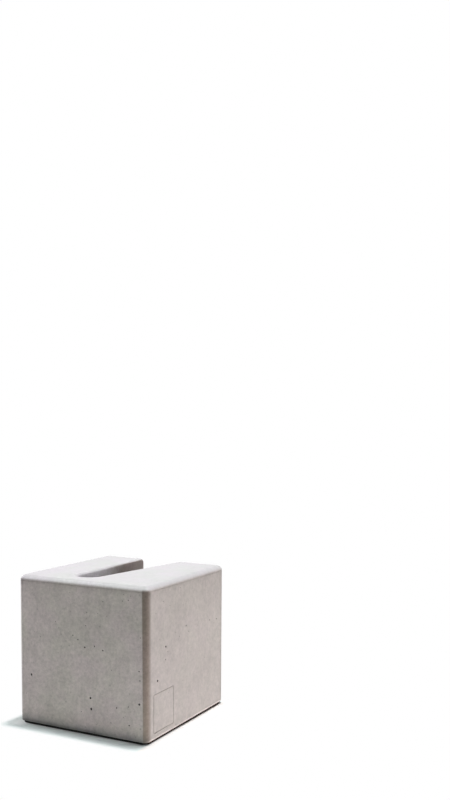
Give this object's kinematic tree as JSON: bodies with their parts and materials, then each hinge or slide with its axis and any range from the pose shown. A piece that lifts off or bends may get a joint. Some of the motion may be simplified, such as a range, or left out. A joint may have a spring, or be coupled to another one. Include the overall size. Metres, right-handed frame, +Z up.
{
  "type": "floor bike stand",
  "caption": "Free-standing cast concrete block with a tapering, round-ended slot that holds a bicycle wheel upright, on a thin rubber base mat",
  "frame": {"origin": "middle of the base mat's underside, on the floor", "axes": "+Z up, +Y towards the slot's open end, X across the slot"},
  "size_m": [0.203, 0.21, 0.203],
  "materials": {
    "concrete": "cast, matt, with fine pores and cloudy tone",
    "rubber": "matt black sheet"
  },
  "bodies": {
    "root": {"concrete_block": "concrete", "rubber_base_mat": "rubber"}
  },
  "joints": []
}
